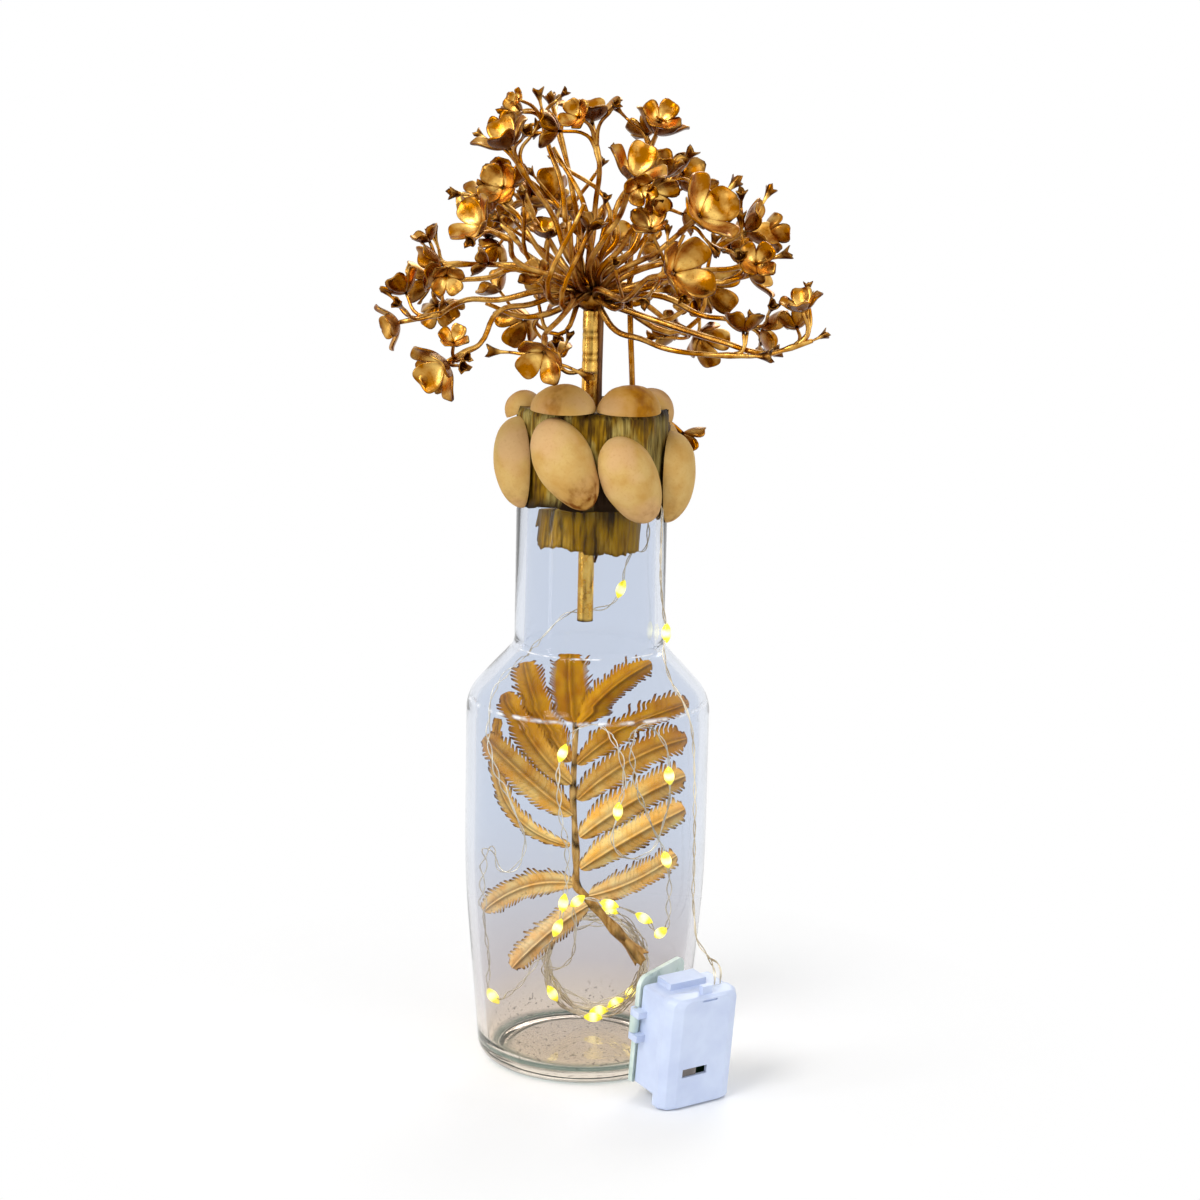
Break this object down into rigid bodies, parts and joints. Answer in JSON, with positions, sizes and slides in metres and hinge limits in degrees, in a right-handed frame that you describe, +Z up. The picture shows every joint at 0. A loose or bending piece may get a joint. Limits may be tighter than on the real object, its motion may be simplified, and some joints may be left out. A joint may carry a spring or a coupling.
{
  "type": "bottle lamp",
  "caption": "Clear bottle with a gilded fern and a string of small lamps inside, a nut-shell stopper bearing a gilded umbel, and a coin-cell battery box on its lead.",
  "frame": {"origin": "centre of the bottle's resting face", "axes": "+Z up along the bottle's axis, -Y towards the front, +X to the right seen from the front"},
  "size_m": [0.1385, 0.1108, 0.3068],
  "materials": {
    "clear_glass": "clear, polished, faint green in the thick foot",
    "stopper_board": "matt, hidden under the crepe",
    "crepe_paper": "olive crepe with fine upright creases and a gold sheen",
    "nut_shell": "matt tan half nut shells with brown stains",
    "dark_stem": "dark matt stick",
    "gilded_umbel": "dried plant sprayed with copper-gold paint, satin",
    "gilded_fern": "dried fern sprayed with ochre-gold paint, satin",
    "wire_metal": "fine bare-looking lamp wire",
    "lamp_resin": "clear resin drops round small lit lamps",
    "white_plastic": "moulded, satin",
    "pale_plastic": "thin translucent pale green moulding",
    "knob_plastic": "moulded, satin",
    "board_laminate": "coated laminate",
    "cell_steel": "plated steel can",
    "sprung_metal": "plated sprung metal"
  },
  "bodies": {
    "bottle": {"glass_bottle": "clear_glass", "fern_stalk": "gilded_fern", "leaflet_1": "gilded_fern", "leaflet_2": "gilded_fern", "leaflet_3": "gilded_fern", "leaflet_4": "gilded_fern", "leaflet_5": "gilded_fern", "leaflet_6": "gilded_fern", "leaflet_7": "gilded_fern", "leaflet_8": "gilded_fern", "leaflet_9": "gilded_fern", "leaflet_10": "gilded_fern", "leaflet_11": "gilded_fern", "leaflet_12": "gilded_fern", "leaflet_13": "gilded_fern", "lead_wire": "wire_metal", "string_run": "wire_metal", "string_hank": "wire_metal", "run_lamps": "lamp_resin", "hank_lamps": "lamp_resin", "box_cover": "white_plastic", "box_shell": "white_plastic", "hinge_pin": "sprung_metal", "coin_cells": "cell_steel", "box_contacts": "sprung_metal", "circuit_board": "board_laminate"},
    "stopper": {"stopper_core": "stopper_board", "cap_wrap": "crepe_paper", "neck_skirt": "crepe_paper", "main_stem": "gilded_umbel", "second_stem": "dark_stem", "thin_stem": "gilded_umbel", "stem_sprigs": "gilded_umbel", "umbel_hub": "gilded_umbel", "bud_tips": "gilded_umbel", "side_shell_1": "nut_shell", "side_shell_2": "nut_shell", "side_shell_3": "nut_shell", "side_shell_4": "nut_shell", "side_shell_5": "nut_shell", "side_shell_6": "nut_shell", "side_shell_7": "nut_shell", "top_shell_1": "nut_shell", "top_shell_2": "nut_shell", "top_shell_3": "nut_shell", "top_shell_4": "nut_shell", "top_shell_5": "nut_shell", "top_shell_6": "nut_shell", "rays_top": "gilded_umbel", "rays_left": "gilded_umbel", "rays_right": "gilded_umbel", "rays_front": "gilded_umbel", "rays_back": "gilded_umbel", "flowers_top": "gilded_umbel", "flowers_left": "gilded_umbel", "flowers_right": "gilded_umbel", "flowers_front": "gilded_umbel", "flowers_back": "gilded_umbel"},
    "lid": {"box_lid": "pale_plastic"},
    "knob": {"switch_knob": "knob_plastic"}
  },
  "joints": [
    {"name": "stopper_lift", "type": "slide", "parent": "bottle", "child": "stopper", "axis": [0, 0, 1], "range_m": [0, 0.06]},
    {"name": "switch_slide", "type": "slide", "parent": "bottle", "child": "knob", "axis": [0.8192, 0.5736, 0], "range_m": [0, 0.0034]},
    {"name": "lid_hinge", "type": "hinge", "parent": "bottle", "child": "lid", "pos_m": [0.01615, -0.04162, 0.02169], "axis": [0.06, -0.0856, 0.9945], "range_deg": [-21, 1.5]}
  ]
}
